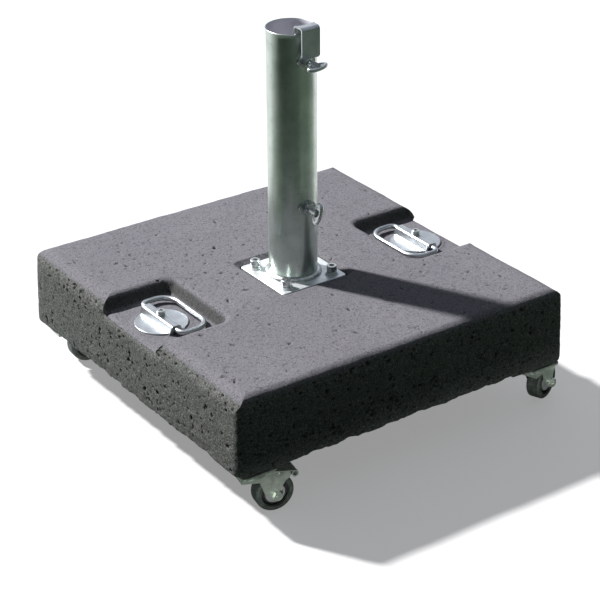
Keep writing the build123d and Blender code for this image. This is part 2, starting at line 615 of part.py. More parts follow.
def wheel_hub():
    """Plastic wheel centre: boss, disc face, dark groove and rim band."""
    rim = TYRE_BORE - SHANK_GAP
    boss = [(HUB_BORE, 0), (HUB_BORE, HUB_HALF)]
    boss += [(HUB_BOSS_RADIUS, HUB_HALF), (HUB_BOSS_RADIUS + 1, DISC_FACE)]
    disc = [(HUB_DISC_RADIUS - 1, DISC_FACE - 0.4), (HUB_DISC_RADIUS, DISC_FACE - 1.4)]
    groove = [(HUB_DISC_RADIUS + 0.6, GROOVE_FLOOR), (rim - 1.8, GROOVE_FLOOR)]
    band = [(rim - 1.4, DISC_FACE - 1.2), (rim, DISC_FACE - 1.2), (rim, 0)]
    outline = Polyline(*boss, *disc, *groove, *band, close=True)
    half = revolve(make_face(outline), Axis.Y)
    return Pos(TRAIL, 0, WHEEL_RADIUS) * (half + mirror(half, Plane.XZ))


def tyre():
    ring = rod_y(WHEEL_RADIUS, -WHEEL_HALF, WHEEL_HALF)
    ring = fillet(ring.edges().filter_by(GeomType.CIRCLE), TYRE_SHOULDER)
    return Pos(TRAIL, 0, WHEEL_RADIUS) * (ring - rod_y(TYRE_BORE, -WHEEL_HALF - 1, WHEEL_HALF + 1))


def pedal_tilt(raised):
    """Turn about the pedal's pin, for a pedal that is up."""
    pin = Pos(PEDAL_PIVOT_U, 0, PEDAL_PIVOT_Z)
    return pin * Rot(0, -PEDAL_LIFT if raised else 0, 0) * pin.inverse()


def brake_pedal():
    """Pressed pedal: barrel on its pin, flat arm and a curled toe."""
    barrel = rod_y(PEDAL_BARREL_RADIUS, -PEDAL_HALF, PEDAL_HALF, PEDAL_PIVOT_U, PEDAL_PIVOT_Z)
    toe = rod_y(PEDAL_TOE_RADIUS, -PEDAL_HALF, PEDAL_HALF, PEDAL_TOE_U, PEDAL_TOE_Z)
    arm = Polyline(*arm_line(0), *reversed(arm_line(-PEDAL_SHEET)), close=True)
    arm = extrude(Plane.XZ * make_face(arm), PEDAL_HALF, both=True)
    pedal = barrel + toe + arm
    across = 2 * PEDAL_HALF
    pedal -= rod_y(PEDAL_PIN_RADIUS + SCREW_GAP, -across, across, PEDAL_PIVOT_U, PEDAL_PIVOT_Z)
    return pedal - rod_y(PEDAL_TOE_RADIUS - PEDAL_SHEET, -across, across, PEDAL_TOE_U, PEDAL_TOE_Z)


def arm_line(offset):
    """Two points of the pedal arm's top line, or of a line below it."""
    fall = atan((PEDAL_PIVOT_Z - PEDAL_TOE_Z) / (PEDAL_TOE_U - PEDAL_PIVOT_U))
    across = (sin(fall), cos(fall))
    barrel, toe = PEDAL_BARREL_RADIUS + offset, PEDAL_TOE_RADIUS + offset
    return [(PEDAL_PIVOT_U + barrel * across[0], PEDAL_PIVOT_Z + barrel * across[1]),
            (PEDAL_TOE_U + toe * across[0], PEDAL_TOE_Z + toe * across[1])]


def brake_shoe():
    """Rubber block under the arm, hollowed to the tyre."""
    start, end = arm_line(-PEDAL_SHEET - 0.02)
    slope = (end[1] - start[1]) / (end[0] - start[0])
    first, last = SHOE_START, SHOE_START + SHOE_LENGTH
    top_first = start[1] + slope * (first - start[0])
    top_last = start[1] + slope * (last - start[0])
    outline = Polyline(
        (first, SHOE_BOTTOM), (last, SHOE_BOTTOM), (last, top_last), (first, top_first), close=True)
    shoe = extrude(Plane.XZ * make_face(outline), WHEEL_HALF - 2, both=True)
    return shoe - rod_y(WHEEL_RADIUS + SHOE_GAP, -2 * WHEEL_HALF, 2 * WHEEL_HALF, TRAIL, WHEEL_RADIUS)


# ------------------------------------------------------------------ writing the sub-parts
def write_root():
    save("concrete_block", concrete_block())
    save("flange_plate", flange_plate())
    save("flange_inserts", [flange_insert(x, y) for x, y in flange_places()])
    save("flange_washers", [flange_washer(x, y) for x, y in flange_places()])
    save("flange_spring_washers", [spring_washer(x, y) for x, y in flange_places()])
    save("flange_screws", [flange_screw(x, y) for x, y in flange_places()])
    save("pole_tube", pole_tube())
    save("tube_weld", tube_weld())
    save("pole_seat_ring", pole_seat_ring())
    save("weld_nuts", [weld_nut(z) for z in (UPPER_SCREW_Z, LOWER_SCREW_Z)])
    save("nut_welds", [nut_weld(z) for z in (UPPER_SCREW_Z, LOWER_SCREW_Z)])


def write_clamp():
    save("clamp_strap", clamp_strap())
    save("upper_wing_screw", upper_wing_screw())
    save("lower_wing_screw", lower_wing_screw())
    save("lower_clamp_pad", lower_clamp_pad())


def write_handles():
    for name, side in (("left", -1), ("right", 1)):
        place = handle_place(side)
        save(f"{name}_handle_plate", place * handle_plate())
        save(f"{name}_handle_loop", place * handle_loop())
        save(f"{name}_handle_screw", place * handle_screw())
        save(f"{name}_handle_insert", place * handle_insert())


def write_casters():
    places = [(x, y) for _, x, y, _, _ in caster_places()]
    save("caster_screws", [caster_screw(x, y) for x, y in caster_screw_places()])
    save("caster_inserts", [caster_insert(x, y) for x, y in caster_screw_places()])
    save("caster_kingpins", [kingpin(x, y) for x, y in places])
    save("caster_bearing_balls", [ball for x, y in places for ball in bearing_balls(x, y)])
    for name, x, y, angle, raised in caster_places():
        place = Pos(x, y, 0)
        turned = place * Rot(0, 0, angle)
        pedal_place = turned * pedal_tilt(raised)
        save(f"{name}_caster_plate", place * caster_plate())
        save(f"{name}_fork", turned * fork())
        save(f"{name}_fork_pins", [turned * piece for piece in fork_pins()])
        save(f"{name}_wheel_hub", turned * wheel_hub())
        save(f"{name}_tyre", turned * tyre())
        save(f"{name}_brake_pedal", pedal_place * brake_pedal())
        save(f"{name}_brake_shoe", pedal_place * brake_shoe())


write_root()
write_clamp()
write_handles()
write_casters()
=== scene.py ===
import json
import math

import bpy
import numpy as np
from mathutils import Matrix, Vector, kdtree


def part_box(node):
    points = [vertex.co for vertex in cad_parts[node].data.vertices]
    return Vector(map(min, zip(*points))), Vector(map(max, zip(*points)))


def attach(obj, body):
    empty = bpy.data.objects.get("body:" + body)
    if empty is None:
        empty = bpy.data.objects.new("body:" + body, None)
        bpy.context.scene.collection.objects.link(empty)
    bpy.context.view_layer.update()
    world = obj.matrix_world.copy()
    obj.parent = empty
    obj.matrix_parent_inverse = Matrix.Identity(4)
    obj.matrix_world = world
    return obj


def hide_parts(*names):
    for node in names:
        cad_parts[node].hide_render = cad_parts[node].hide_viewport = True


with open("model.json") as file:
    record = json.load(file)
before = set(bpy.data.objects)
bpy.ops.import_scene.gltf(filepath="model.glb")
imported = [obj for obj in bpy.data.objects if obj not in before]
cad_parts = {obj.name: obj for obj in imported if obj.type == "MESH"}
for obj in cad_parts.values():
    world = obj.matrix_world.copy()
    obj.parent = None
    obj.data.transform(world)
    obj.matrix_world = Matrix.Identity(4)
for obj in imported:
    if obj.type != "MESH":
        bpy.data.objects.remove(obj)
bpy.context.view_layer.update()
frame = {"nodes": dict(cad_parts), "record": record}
cad = frame["nodes"]
scene = bpy.context.scene
rng = np.random.default_rng(41)

# Places read from the CAD nodes, in metres
SLAB_LOW, SLAB_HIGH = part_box("concrete_block")
SLAB_FOOT = SLAB_LOW.z
SLAB_TOP = SLAB_HIGH.z
SLAB_HALF = SLAB_HIGH.x
HANDLE_LOW, HANDLE_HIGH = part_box("left_handle_plate")
HANDLE_X = -(HANDLE_LOW.x + HANDLE_HIGH.x) / 2
RECESS_FLOOR = HANDLE_LOW.z
FLANGE_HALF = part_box("flange_plate")[1].x
# a radius inside the tube's wall, measured in from its flared mouth
TUBE_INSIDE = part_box("pole_tube")[1].x - 0.002

# The slab's sides, recesses and pocket, in metres
VOXEL = 0.0017
DRAFT = math.tan(math.radians(2))
SIDE_LEAN = 0.0045
RECESS_HALF = 0.092
RECESS_SLACK = 0.003
POCKET_MARGIN = 0.0015
HANDLE_GUARD = 0.047

# How round each edge is worn, and how far that wanders, in metres
SHOULDER_X, SHOULDER_X_WANDER = 0.027, 0.004
SHOULDER_Y, SHOULDER_Y_WANDER = 0.019, 0.003
LIP, LIP_WANDER = 0.014, 0.003

# The rough skin: cell sizes, depths everywhere and more on the sides, in metres
GRAIN, GRAIN_DEPTH, GRAIN_SIDE_DEPTH = 0.0075, 0.0004, 0.0008
PATCH, PATCH_DEPTH, PATCH_SIDE_DEPTH = 0.085, 0.0009, 0.0012
SCOUR, SCOUR_DEPTH = 0.022, 0.0011
SCOUR_START = 0.262
SCOUR_BAND = 0.035
FOOT_RAGGED, FOOT_BITE = 0.026, 0.0052
FOOT_START = 0.270
FOOT_BAND = 0.020
CALM_START = 0.215
CALM_PAST_X = 0.2

# The open pores, in metres where they are lengths
SIDE_PITS = 300
TOP_PITS = 300
SCRATCHES = 22
PIT_SPREAD = 0.285
PIT_LIMIT = 0.288
PIT_BAND = 0.128
TOP_EDGE = 0.012


# ---------------------------------------------------------------- noise and pits

def lattice_noise(points, cell, seed):
    """Smooth value noise between -1 and 1 with the given cell size in metres."""
    size = 64
    values = np.random.default_rng(seed).uniform(-1, 1, (size, size, size)).astype(np.float32)
    q = points / cell + 1000.37
    base = np.floor(q).astype(int)
    f = q - base
    f = f * f * (3 - 2 * f)
    total = np.zeros(len(points))
    for dx in (0, 1):
        wx = f[:, 0] if dx else 1 - f[:, 0]
        for dy in (0, 1):
            wy = f[:, 1] if dy else 1 - f[:, 1]
            for dz in (0, 1):
                wz = f[:, 2] if dz else 1 - f[:, 2]
                i = (base + (dx, dy, dz)) % size
                total += wx * wy * wz * values[i[:, 0], i[:, 1], i[:, 2]]
    return total


def octaves(points, cell, seed, count=3):
    """Layers of noise, each half the size and about half the height of the one before."""
    total = np.zeros(len(points))
    share = 1.0
    for k in range(count):
        total += share * lattice_noise(points, cell / 2 ** k, seed + k)
        share *= 0.55
    return total / 1.8


def patches(points, cell, seed, count=3):
    """The same noise, mostly between 0 and 1."""
    return 0.5 + 0.5 * octaves(points, cell, seed, count)


def rising(value, start, length):
    """0 up to start, then straight up to 1."""
    return np.clip((value - start) / length, 0, 1)


def falling(value, end, length):
    """1 until shortly before end, then straight down to 0."""
    return np.clip((end - value) / length, 0, 1)


def rounded_off(inward, below, radius):
    """How far in and how far down a point near an edge goes for the edge to have this radius."""
    across = np.clip(radius - inward, 0, None)
    down = np.clip(radius - below, 0, None)
    reach = np.hypot(across, down) + 1e-9
    near = (across > 0) & (down > 0) & (below > -0.002)
    amount = np.where(near, np.clip(reach - radius, 0, None), 0)
    return amount * across / reach, amount * down / reach


def side_point(face, along, height):
    """A point on one of the four sides; face 0 is -X, 1 is -Y, 2 is +X, 3 is +Y."""
    inset = SLAB_HALF - SIDE_LEAN * (height - SLAB_FOOT) / (SLAB_TOP - SLAB_FOOT)
    return ((-inset, along), (along, -inset), (inset, along), (along, inset))[face] + (height,)


def side_pits(face):
    """Pores of one side, some of them crowded and some in pairs."""
    pits = []
    crowded = rng.uniform(-0.26, 0.26, 9)
    for _ in range(SIDE_PITS):
        along = rng.uniform(-PIT_SPREAD, PIT_SPREAD)
        if rng.random() < 0.45:
            along = float(np.clip(rng.choice(crowded) + rng.normal(0, 0.03), -PIT_LIMIT, PIT_LIMIT))
        height = SLAB_FOOT + PIT_BAND * rng.beta(1.15, 1.1)
        height = min(height, SLAB_TOP - TOP_EDGE)
        radius = 0.0010 + 0.0034 * rng.beta(1.0, 4.6)
        stretch = rng.uniform(1.0, 1.9)
        pits.append((side_point(face, along, height), radius, 0.9 * radius + 0.0006, stretch))
        if rng.random() < 0.16:
            pair = side_point(face, along + rng.normal(0, 0.002), height + rng.uniform(0.005, 0.010))
            if pair[2] < SLAB_TOP - TOP_EDGE:
                pits.append((pair, radius * 0.8, 0.8 * radius, 1.2))
    return pits


def top_pits():
    """Smaller pores of the top, and a few long scratches."""
    pits = []
    crowded = rng.uniform(-0.27, 0.27, (16, 2))
    for _ in range(TOP_PITS):
        x, y = rng.uniform(-PIT_SPREAD, PIT_SPREAD, 2)
        if rng.random() < 0.4:
            x, y = np.clip(crowded[rng.integers(16)] + rng.normal(0, 0.028, 2), -PIT_LIMIT, PIT_LIMIT)
        radius = 0.0009 + 0.0024 * rng.beta(1.0, 4.4)
        pits.append(((x, y, SLAB_TOP), radius, 0.9 * radius + 0.0008, rng.uniform(1.0, 1.8)))
    for _ in range(SCRATCHES):
        x, y = rng.uniform(-0.28, 0.28, 2)
        pits.append(((x, y, SLAB_TOP), rng.uniform(0.0013, 0.0022), 0.0018, 3.2))
    return pits


def pit_list():
    """Centre, radius, depth and stretch of each open pore."""
    pits = []
    for face in range(4):
        pits += side_pits(face)
    return pits + top_pits()


def cut_pits(co, normal):
    """The pits' depth and shade at each point."""
    tree = kdtree.KDTree(len(co))
    for i, p in enumerate(co):
        tree.insert(p, i)
    tree.balance()
    depth = np.zeros(len(co))
    shade = np.zeros(len(co))
    for centre, radius, deep, stretch in pit_list():
        hits = tree.find_range(Vector(centre), radius * stretch * 1.25)
        if not hits:
            continue
        near = np.array([h[1] for h in hits])
        off = co[near] - np.array(centre)
        turn = rng.uniform(0, math.pi)
        n = normal[near].mean(axis=0)
        n /= np.linalg.norm(n) + 1e-9
        first = np.cross(n, (0.31, 0.27, 0.91))
        first /= np.linalg.norm(first) + 1e-9
        second = np.cross(n, first)
        u = off @ first * math.cos(turn) + off @ second * math.sin(turn)
        v = -(off @ first) * math.sin(turn) + off @ second * math.cos(turn)
        ragged = 1 + 0.34 * lattice_noise(co[near], radius * 0.8, 71)
        rho = np.sqrt((u / (radius * stretch)) ** 2 + (v / radius) ** 2) * ragged
        inside = np.clip(2.4 * (1 - rho), 0, 1)
        depth[near] = np.maximum(depth[near], deep * inside)
        shade[near] = np.maximum(shade[near], inside * min(1, radius / 0.0016))
    return depth, shade


# ---------------------------------------------------------------- the slab

def fine_copy(name, node):
    """A new object with a finely divided copy of a CAD node's mesh."""
    obj = bpy.data.objects.new(name, cad[node].data.copy())
    scene.collection.objects.link(obj)
    remesh = obj.modifiers.new("grid", "REMESH")
    remesh.mode = "VOXEL"
    remesh.voxel_size = VOXEL * 1
    remesh.use_smooth_shade = True
    bpy.context.view_layer.update()
    evaluated = obj.evaluated_get(bpy.context.evaluated_depsgraph_get())
    fine = bpy.data.meshes.new_from_object(evaluated)
    obj.modifiers.clear()
    obj.data = fine
    return obj


def vectors(items, name):
    """The named vector of each item, as the rows of an array."""
    values = np.zeros(len(items) * 3, np.float32)
    items.foreach_get(name, values)
    return values.reshape(-1, 3).astype(float)


def may_be_worn(x, y, z, up):
    """0 in the flange's pocket and under the handle plates, which touch the slab, and 1 elsewhere."""
    outer = rising(np.maximum(x, y), FLANGE_HALF + POCKET_MARGIN, 0.003)
    on_recess_floor = (np.abs(z - RECESS_FLOOR) < RECESS_SLACK) & (up > 0.9)
    under_plate = on_recess_floor & (np.hypot(x - HANDLE_X, y) < HANDLE_GUARD)
    return outer * np.where(under_plate, 0.0, 1.0)


def worn_edges(x, y, z, wander):
    """How far each point goes in along X, in along Y and down, where an edge is worn round."""
    wall = SLAB_HALF - DRAFT * (z - SLAB_FOOT)
    below = SLAB_TOP - z
    shoulder_x = rounded_off(wall - x, below, SHOULDER_X + SHOULDER_X_WANDER * wander)
    shoulder_y = rounded_off(wall - y, below, SHOULDER_Y + SHOULDER_Y_WANDER * wander)
    lip = rounded_off(wall - x, RECESS_FLOOR - z, LIP + LIP_WANDER * wander)
    at_recess = falling(y, RECESS_HALF, 0.012)
    to_x = np.maximum(shoulder_x[0], lip[0] * at_recess)
    down = np.maximum(np.maximum(shoulder_x[1], shoulder_y[1]), lip[1] * at_recess)
    return to_x, shoulder_y[0], down


def skin_depth(co, side, keep):
    """How far the rough skin lies under the CAD surface, without its pits."""
    x, y, z = np.abs(co[:, 0]), np.abs(co[:, 1]), co[:, 2]
    reach = np.maximum(x, y)
    sink = keep * (GRAIN_DEPTH + side * GRAIN_SIDE_DEPTH) * patches(co, GRAIN, 5)
    sink += keep * (PATCH_DEPTH + side * PATCH_SIDE_DEPTH) * patches(co, PATCH, 11)
    # scoured shoulders where a side meets the top
    shoulder = rising(reach, SCOUR_START, SCOUR_BAND) * rising(z, SLAB_TOP - SCOUR_BAND, 0.03)
    sink += keep * shoulder * SCOUR_DEPTH * patches(co, SCOUR, 23)
    # a ragged lower edge, calmer over the casters' plates
    foot = falling(z, SLAB_FOOT + FOOT_BAND, FOOT_BAND) * rising(reach, FOOT_START, 0.02)
    foot *= 1 - 0.75 * rising(y, CALM_START, 0.02) * (x > CALM_PAST_X)
    return sink + foot * FOOT_BITE * np.clip(0.35 + 0.9 * octaves(co, FOOT_RAGGED, 31), 0, 1)


def make_slab():
    """The cast slab with its rough skin, cut inwards from the CAD surface."""
    slab = fine_copy("concrete_slab", "concrete_block")
    fine = slab.data
    co = vectors(fine.vertices, "co")
    normal = vectors(fine.vertex_normals, "vector")
    x, y, z = np.abs(co[:, 0]), np.abs(co[:, 1]), co[:, 2]

    side = np.clip(1.55 - 1.85 * np.abs(normal[:, 2]), 0, 1)
    keep = may_be_worn(x, y, z, normal[:, 2])
    to_x, to_y, down = worn_edges(x, y, z, octaves(co, 0.060, 47, 2))
    sink = skin_depth(co, side, keep)
    # painted shade: the recess walls, away from the outer sides, are marked for a darker colour
    recess_painted_shade = side * falling(np.maximum(x, y), SLAB_HALF - 0.010, 0.004)
    depth, shade = cut_pits(co, normal)
    sink += depth * keep
    shade *= keep

    co -= normal * sink[:, None]
    co -= np.column_stack((np.sign(co[:, 0]) * to_x, np.sign(co[:, 1]) * to_y, down))
    fine.vertices.foreach_set("co", co.astype(np.float32).ravel())
    # the pits' and the recess walls' painted shade go to the material as attributes
    for name, values in (("pit_painted_shade", shade), ("side", side), ("recess_wall_painted_shade", recess_painted_shade)):
        attribute = fine.attributes.new(name, "FLOAT", "POINT")
        attribute.data.foreach_set("value", values.astype(np.float32))
    fine.update()
    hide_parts("concrete_block")
    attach(slab, "base")
    return slab


# ---------------------------------------------------------------- materials

class Finish:
    """A node material built up from small steps, in the object's own coordinates."""

    def __init__(self, name):
        self.material = bpy.data.materials.new(name)
        self.material.use_nodes = True
        tree = self.material.node_tree
        self.nodes = tree.nodes
        self.links = tree.links
        self.shader = self.nodes["Principled BSDF"]
        self.where = self.nodes.new("ShaderNodeTexCoord").outputs["Object"]

    def link(self, value, socket):
        """Joins a socket to another one, or gives it a plain value."""
        if isinstance(value, bpy.types.NodeSocket):
            self.links.new(value, socket)
        else:
            socket.default_value = value

    def stretched(self, scale):
        node = self.nodes.new("ShaderNodeMapping")
        self.links.new(self.where, node.inputs["Vector"])
        node.inputs["Scale"].default_value = scale
        return node.outputs["Vector"]

    def noise(self, scale, detail=4.0, rough=0.55, vector=None, distortion=0.0):
        node = self.nodes.new("ShaderNodeTexNoise")
        self.links.new(vector or self.where, node.inputs["Vector"])
        node.inputs["Scale"].default_value = scale
        node.inputs["Detail"].default_value = detail
        node.inputs["Roughness"].default_value = rough
        node.inputs["Distortion"].default_value = distortion
        return node.outputs["Fac"]

    def cells(self, scale):
        """Distance to the nearest of many scattered points."""
        node = self.nodes.new("ShaderNodeTexVoronoi")
        self.links.new(self.where, node.inputs["Vector"])
        node.inputs["Scale"].default_value = scale
        return node.outputs["Distance"]

    def vector_maths(self, operation, a, b=None):
        node = self.nodes.new("ShaderNodeVectorMath")
        node.operation = operation
        self.links.new(a, node.inputs[0])
        if b is not None:
            node.inputs[1].default_value = b
        return node.outputs["Value" if operation == "LENGTH" else "Vector"]

    def from_axis(self, centre, axis):
        """Distance from a line through centre along axis."""
        away = self.vector_maths("SUBTRACT", self.where, centre)
        return self.vector_maths("LENGTH", self.vector_maths("CROSS_PRODUCT", away, axis))

    def attribute(self, name):
        node = self.nodes.new("ShaderNodeAttribute")
        node.attribute_name = name
        return node.outputs["Fac"]

    def ranged(self, value, low, high, to_low=0.0, to_high=1.0):
        node = self.nodes.new("ShaderNodeMapRange")
        self.links.new(value, node.inputs["Value"])
        for key, number in (("From Min", low), ("From Max", high), ("To Min", to_low), ("To Max", to_high)):
            node.inputs[key].default_value = number
        return node.outputs["Result"]

    def maths(self, operation, a, b):
        node = self.nodes.new("ShaderNodeMath")
        node.operation = operation
        self.link(a, node.inputs[0])
        self.link(b, node.inputs[1])
        return node.outputs["Value"]

    def mix(self, factor, a, b):
        """Colour a where the factor is 0 and colour b where it is 1."""
        node = self.nodes.new("ShaderNodeMix")
        node.data_type = "RGBA"
        self.link(factor, node.inputs["Factor"])
        self.link(a if isinstance(a, bpy.types.NodeSocket) else (*a, 1), node.inputs["A"])
        self.link(b if isinstance(b, bpy.types.NodeSocket) else (*b, 1), node.inputs["B"])
        return node.outputs["Result"]

    def stained(self, color, mask, strength, tint):
        """The colour with a tint over it, where the mask is high."""
        return self.mix(self.maths("MULTIPLY", mask, strength), color, tint)

    def bump(self, height, strength, distance, normal=None):
        node = self.nodes.new("ShaderNodeBump")
        node.inputs["Strength"].default_value = strength
        node.inputs["Distance"].default_value = distance
        self.links.new(height, node.inputs["Height"])
        if normal is not None:
            self.links.new(normal, node.inputs["Normal"])
        return node.outputs["Normal"]

    def done(self, color, roughness, normal, metallic=0.0, specular=0.5):
        self.link(color, self.shader.inputs["Base Color"])
        self.link(roughness, self.shader.inputs["Roughness"])
        self.link(metallic, self.shader.inputs["Metallic"])
        self.links.new(normal, self.shader.inputs["Normal"])
        self.shader.inputs["Specular IOR Level"].default_value = specular
        return self.material


def concrete():
    """Mauve-grey cast top, sand, flecks, specks and open pores, with painted shade on the darker greenish
    sides, on the recess walls, in the pits and in the pores.
    """
    f = Finish("cast_concrete")
    side = f.attribute("side")
    pit_painted_shade = f.attribute("pit_painted_shade")
    cloud = f.ranged(f.noise(7.0, 5.0, 0.6), 0.32, 0.68)
    top = f.mix(cloud, (0.100, 0.096, 0.114), (0.124, 0.120, 0.138))
    # painted shade: the sides take a darker greenish copy of the top's colour
    flank_painted_shade = f.mix(cloud, (0.049, 0.054, 0.049), (0.073, 0.079, 0.072))
    color = f.mix(side, top, flank_painted_shade)
    sand = f.ranged(f.noise(430.0, 3.0, 0.75), 0.50, 0.66)
    color = f.stained(color, sand, f.ranged(side, 0, 1, 0.50, 0.80), (0.225, 0.224, 0.232))
    fleck = f.ranged(f.noise(330.0, 3.0, 0.7), 0.50, 0.62)
    color = f.stained(color, fleck, f.ranged(side, 0, 1, 0.42, 0.74), (0.022, 0.023, 0.023))
    speck = f.ranged(f.noise(190.0, 2.0, 0.5), 0.62, 0.67)
    color = f.stained(color, speck, f.ranged(side, 0, 1, 0.45, 0.9), (0.014, 0.014, 0.015))
    # painted shade on the recess walls, darkened in colour as though in shadow
    color = f.stained(color, f.attribute("recess_wall_painted_shade"), 0.90, (0.020, 0.020, 0.021))
    pore_and_painted_shade = f.ranged(f.cells(150.0), 0.10, 0.16, 1.0, 0.0)
    sparse = f.ranged(f.noise(26.0, 3.0, 0.5), 0.50, 0.60)
    pore_and_painted_shade = f.maths("MULTIPLY", pore_and_painted_shade, sparse)
    # painted shade darkens the small pores; the same mask also bumps them
    color = f.stained(color, pore_and_painted_shade, 0.75, (0.022, 0.022, 0.024))
    # painted shade darkens the pits
    color = f.stained(color, pit_painted_shade, 0.94, (0.012, 0.012, 0.013))
    normal = f.bump(f.noise(520.0, 4.0, 0.7), 0.90, 0.0014)
    normal = f.bump(f.noise(120.0, 4.0, 0.6), 0.35, 0.0012, normal)
    normal = f.bump(f.maths("SUBTRACT", 1.0, pore_and_painted_shade), 0.8, 0.0010, normal)
    return f.done(color, f.ranged(cloud, 0, 1, 0.74, 0.90), normal, specular=0.28)


def metal(name, dark, light, roughness, streak, scale, dull, bump=0.10, metallic=1.0, inside=None):
    """Plated or galvanised steel: patches of tone, fine drawn streaks and small dull spots.

    Within the radius called inside, round the Z axis, the tube's inner wall has painted light: a pale
    lavender colour, less metallic and duller.
    """
    f = Finish(name)
    patch = f.ranged(f.noise(scale, 5.0, 0.6, distortion=0.4), 0.35, 0.65)
    drawn = f.noise(90.0, 4.0, 0.65, f.stretched(streak))
    spots = f.ranged(f.noise(scale * 6, 3.0, 0.6), 0.58, 0.72)
    color = f.stained(f.mix(patch, dark, light), spots, dull, tuple(0.45 * c for c in dark))
    rough = f.maths("ADD", f.ranged(drawn, 0.3, 0.7, *roughness), f.maths("MULTIPLY", spots, 0.12))
    if inside:
        # painted light: inside the tube the wall is painted pale lavender, as if lit by the sky
        pale = f.ranged(f.vector_maths("LENGTH", f.stretched((1, 1, 0))), inside, inside + 0.0005, 1.0, 0.0)
        color = f.mix(pale, color, (0.52, 0.51, 0.57))
        rough = f.maths("ADD", rough, f.maths("MULTIPLY", pale, 0.2))
        metallic = f.maths("SUBTRACT", metallic, f.maths("MULTIPLY", pale, 0.75))
    return f.done(color, rough, f.bump(drawn, bump, 0.0004), metallic=metallic)


def rubber(name, color, worn, roughness):
    """Rubber with paler scuffs, which are also rougher."""
    f = Finish(name)
    scuff = f.ranged(f.noise(140.0, 5.0, 0.65), 0.42, 0.72)
    normal = f.bump(f.noise(900.0, 3.0, 0.6), 0.25, 0.0003)
    rough = f.ranged(scuff, 0, 1, roughness, roughness + 0.2)
    return f.done(f.mix(scuff, color, worn), rough, normal, specular=0.4)


def plastic(name, color, pale, roughness, axis=None):
    """Moulded plastic; with an axis it is a wheel hub, with painted shade in a dark ring outside its pale
    disc.
    """
    f = Finish(name)
    haze = f.ranged(f.noise(70.0, 4.0, 0.6), 0.35, 0.7)
    tone = f.mix(haze, color, pale)
    if axis:
        # painted shade: a dark ring round the hub's pale disc, where the groove lies in shadow
        groove_painted_shade = f.ranged(f.from_axis(*axis), 0.0150, 0.0164)
        tone = f.stained(tone, groove_painted_shade, 0.96, (0.008, 0.009, 0.008))
    normal = f.bump(f.noise(700.0, 2.0, 0.5), 0.15, 0.0002)
    return f.done(tone, f.ranged(haze, 0, 1, roughness, roughness + 0.15), normal)


def dress(node, finish):
    """Gives an object this finish alone."""
    node.data.materials.clear()
    node.data.materials.append(finish)


dress(make_slab(), concrete())

bright_zinc = metal("bright_zinc", (0.48, 0.51, 0.54), (0.62, 0.65, 0.67), roughness=(0.28, 0.40),
                    streak=(1, 14, 1), scale=45.0, dull=0.2)
flange_zinc = metal("flange_zinc", (0.66, 0.70, 0.73), (0.84, 0.87, 0.89), roughness=(0.36, 0.52),
                    streak=(1, 14, 1), scale=55.0, dull=0.35, metallic=0.8)
galvanised = metal("galvanised_tube", (0.46, 0.53, 0.48), (0.60, 0.67, 0.62), roughness=(0.27, 0.40),
                   streak=(1, 1, 0.04), scale=26.0, dull=0.2, bump=0.06, inside=TUBE_INSIDE)
weld_bead = metal("weld_bead", (0.40, 0.43, 0.43), (0.80, 0.82, 0.82), roughness=(0.28, 0.46),
                  streak=(1, 1, 3), scale=160.0, dull=0.5, bump=0.5)
bolt_zinc = metal("bolt_zinc", (0.56, 0.59, 0.59), (0.78, 0.80, 0.79), roughness=(0.22, 0.36),
                  streak=(1, 1, 5), scale=150.0, dull=0.35)
plain_steel = metal("plain_steel", (0.30, 0.31, 0.32), (0.42, 0.43, 0.44), roughness=(0.35, 0.5),
                    streak=(1, 1, 2), scale=90.0, dull=0.4)
caster_zinc = metal("caster_zinc", (0.50, 0.54, 0.49), (0.72, 0.76, 0.70), roughness=(0.30, 0.45),
                    streak=(1, 1, 4), scale=80.0, dull=0.35, metallic=0.7)
tyre = rubber("tyre_rubber", (0.034, 0.040, 0.036), (0.078, 0.088, 0.080), 0.55)
shoe = rubber("shoe_rubber", (0.020, 0.020, 0.020), (0.045, 0.045, 0.045), 0.6)
seat = plastic("seat_plastic", (0.020, 0.020, 0.021), (0.035, 0.035, 0.036), 0.45)

SLOT_FINISH = {
    "zinc_bright": bright_zinc,
    "tube_steel": galvanised,
    "bolt_steel": bolt_zinc,
    "insert_steel": plain_steel,
    "caster_steel": caster_zinc,
    "tyre_rubber": tyre,
    "shoe_rubber": shoe,
    "seat_plastic": seat,
}
NODE_FINISH = {
    "tube_weld": weld_bead,
    "nut_welds": weld_bead,
    "flange_plate": flange_zinc,
    "flange_washers": flange_zinc,
}
for joint in frame["record"]["behaviour"]["joints"]:
    if joint["name"].endswith("_roll"):
        wheel = joint["name"].removesuffix("_roll") + "_wheel_hub"
        NODE_FINISH[wheel] = plastic(wheel + "_plastic", (0.220, 0.214, 0.226), (0.300, 0.292, 0.306), 0.42,
                                     axis=(joint["pos_m"], joint["axis"]))
for part in frame["record"]["subparts"]:
    finish = NODE_FINISH.get(part["node"]) or SLOT_FINISH.get(part["material_slot"])
    if finish:
        dress(cad[part["node"]], finish)


# ---------------------------------------------------------------- stage

def stage_material(name, color, one_sided=False):
    """A matt colour; one-sided, it is clear from behind."""
    material = bpy.data.materials.new(name)
    material.use_nodes = True
    nodes, links = material.node_tree.nodes, material.node_tree.links
    shader = nodes["Principled BSDF"]
    shader.inputs["Base Color"].default_value = (*color, 1)
    shader.inputs["Roughness"].default_value = 0.9
    shader.inputs["Specular IOR Level"].default_value = 0.1
    if one_sided:
        clear = nodes.new("ShaderNodeBsdfTransparent")
        back = nodes.new("ShaderNodeNewGeometry")
        mix = nodes.new("ShaderNodeMixShader")
        links.new(back.outputs["Backfacing"], mix.inputs[0])
        links.new(shader.outputs[0], mix.inputs[1])
        links.new(clear.outputs[0], mix.inputs[2])
        links.new(mix.outputs[0], nodes["Material Output"].inputs["Surface"])
    return material


